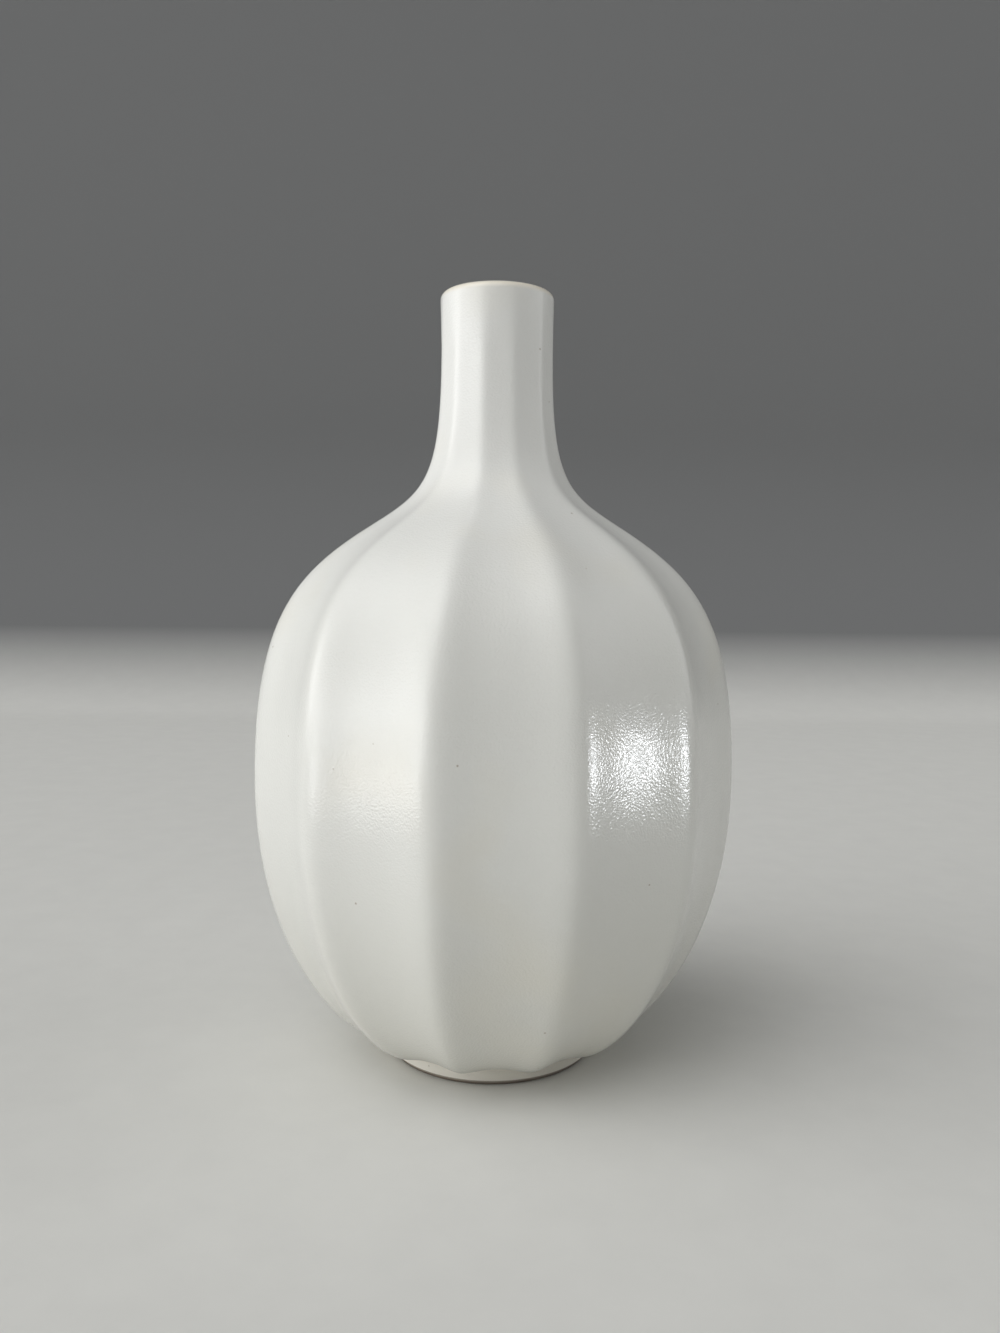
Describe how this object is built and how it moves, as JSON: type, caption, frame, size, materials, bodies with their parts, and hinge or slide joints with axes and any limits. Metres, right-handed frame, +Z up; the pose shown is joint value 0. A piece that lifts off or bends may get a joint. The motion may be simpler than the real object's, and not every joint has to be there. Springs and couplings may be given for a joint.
{
  "type": "bud vase",
  "caption": "Gourd-shaped ceramic bud vase with a fluted round belly, sloping shoulder, slim neck, soft round lip and low plain foot; holds a single cut stem in water.",
  "frame": {"origin": "centre of the foot ring's resting face, on the axis of the vase", "axes": "+Z up along the axis to the lip; +X and +Y each run through a ridge between two flutes"},
  "size_m": [0.088, 0.088, 0.14],
  "materials": {
    "satin_glaze": "satin white glaze with a fine granular surface",
    "liner_glaze": "smooth white glaze",
    "bare_clay": "bare fired clay, matte"
  },
  "bodies": {
    "root": {"vase_body": "bare_clay", "foot_ring": "bare_clay", "outer_glaze": "satin_glaze", "liner_glaze": "liner_glaze"}
  },
  "joints": []
}
